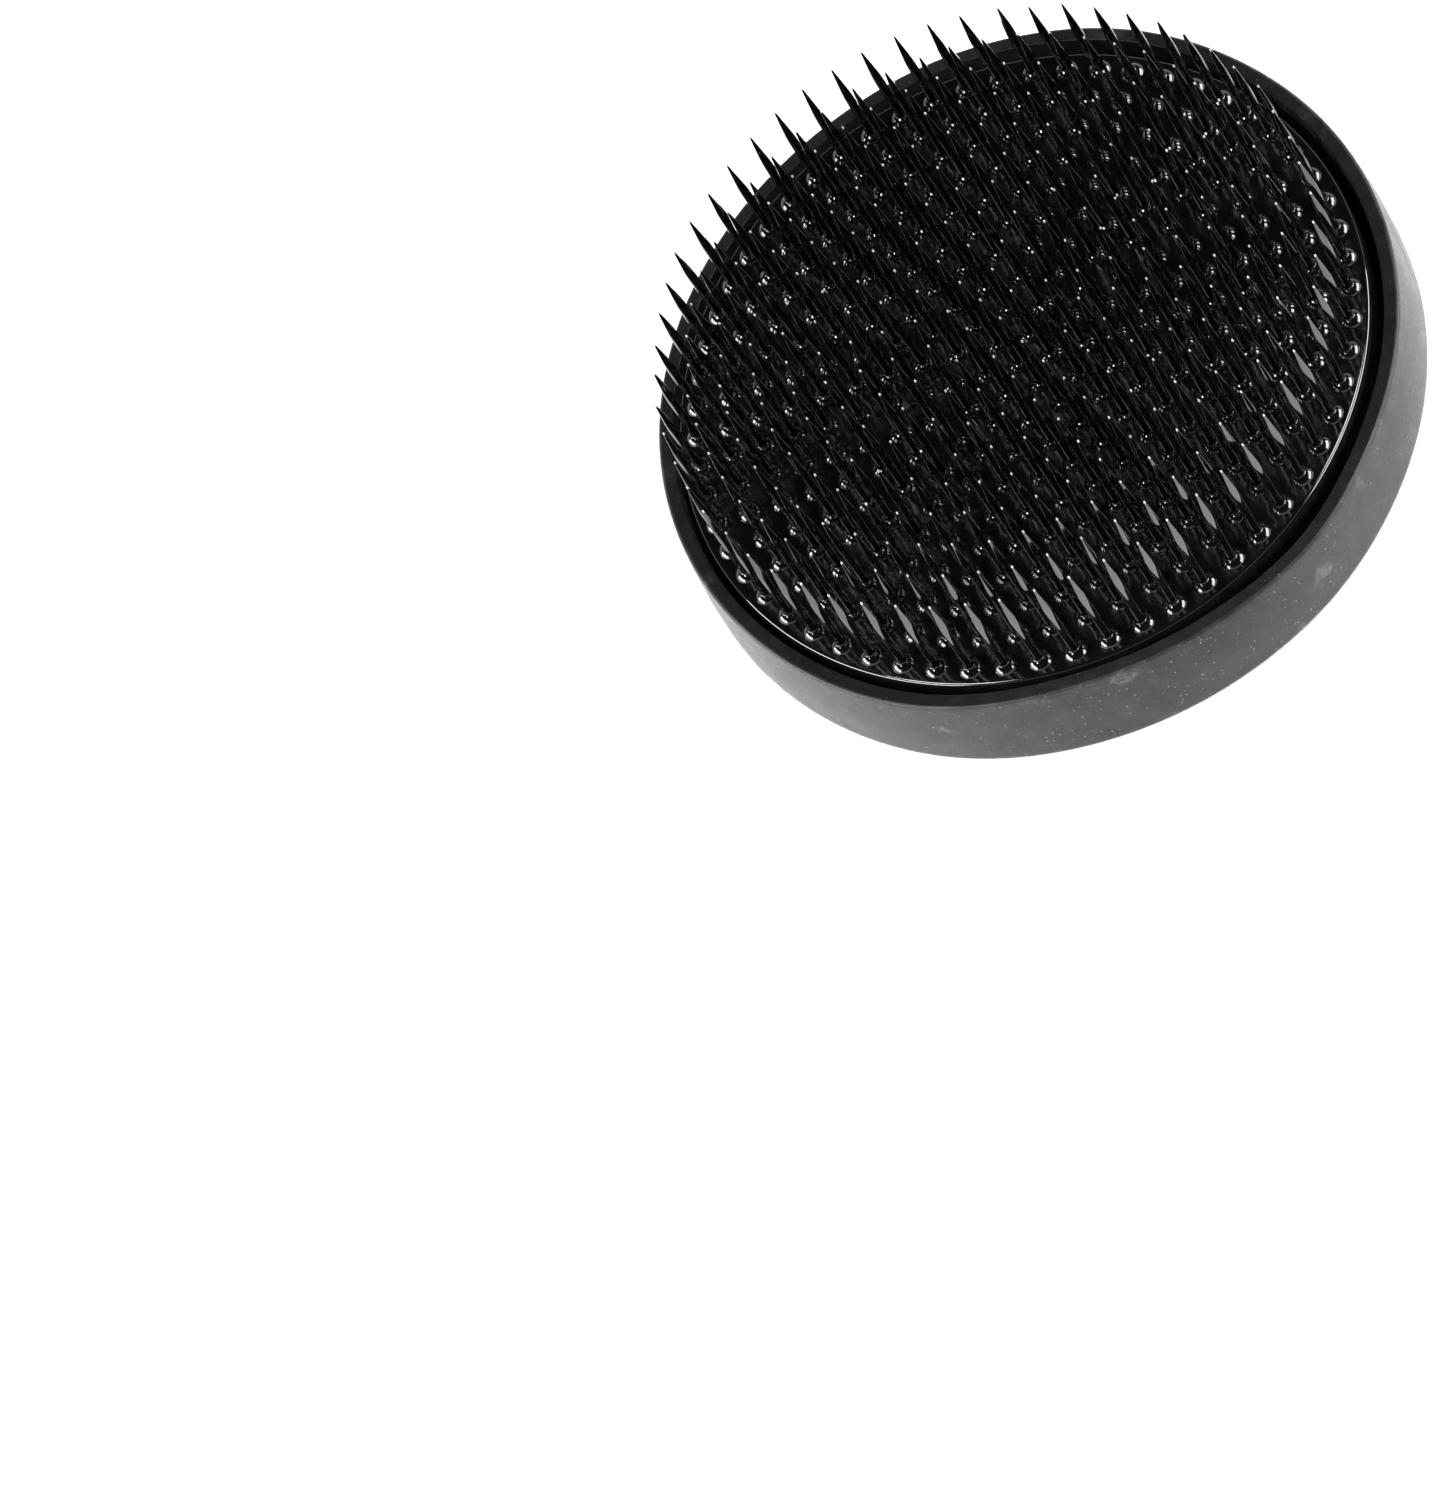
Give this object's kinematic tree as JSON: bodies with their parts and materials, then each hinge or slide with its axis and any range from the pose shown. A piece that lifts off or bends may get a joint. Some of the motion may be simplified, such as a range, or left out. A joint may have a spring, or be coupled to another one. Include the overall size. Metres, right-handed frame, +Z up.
{
  "type": "flower frog",
  "caption": "Round flower frog: a heavy black disc of upright faceted pins, each in a small foot bead, resting loosely in a black rubber ring that it lifts out of.",
  "frame": {"origin": "centre of the rubber ring's underside, on the surface that the part stands on", "axes": "+Z up, along the pins"},
  "size_m": [0.0812, 0.0812, 0.0238],
  "materials": {
    "rubber": "matte, dusty",
    "disc": "high gloss",
    "beads": "high gloss",
    "pins": "high gloss"
  },
  "bodies": {
    "ring": {"rubber_ring": "rubber"},
    "frog": {"base_disc": "disc", "pin_centre": "pins", "pins_ring_01": "pins", "pins_ring_02": "pins", "pins_ring_03": "pins", "pins_ring_04": "pins", "pins_ring_05": "pins", "pins_ring_06": "pins", "pins_ring_07": "pins", "pins_ring_08": "pins", "pins_ring_09": "pins", "pins_ring_10": "pins", "bead_centre": "beads", "beads_ring_01": "beads", "beads_ring_02": "beads", "beads_ring_03": "beads", "beads_ring_04": "beads", "beads_ring_05": "beads", "beads_ring_06": "beads", "beads_ring_07": "beads", "beads_ring_08": "beads", "beads_ring_09": "beads", "beads_ring_10": "beads"}
  },
  "joints": [
    {"name": "lift_out", "type": "slide", "parent": "ring", "child": "frog", "axis": [0, 0, 1], "range_m": [0, 0.04]}
  ]
}
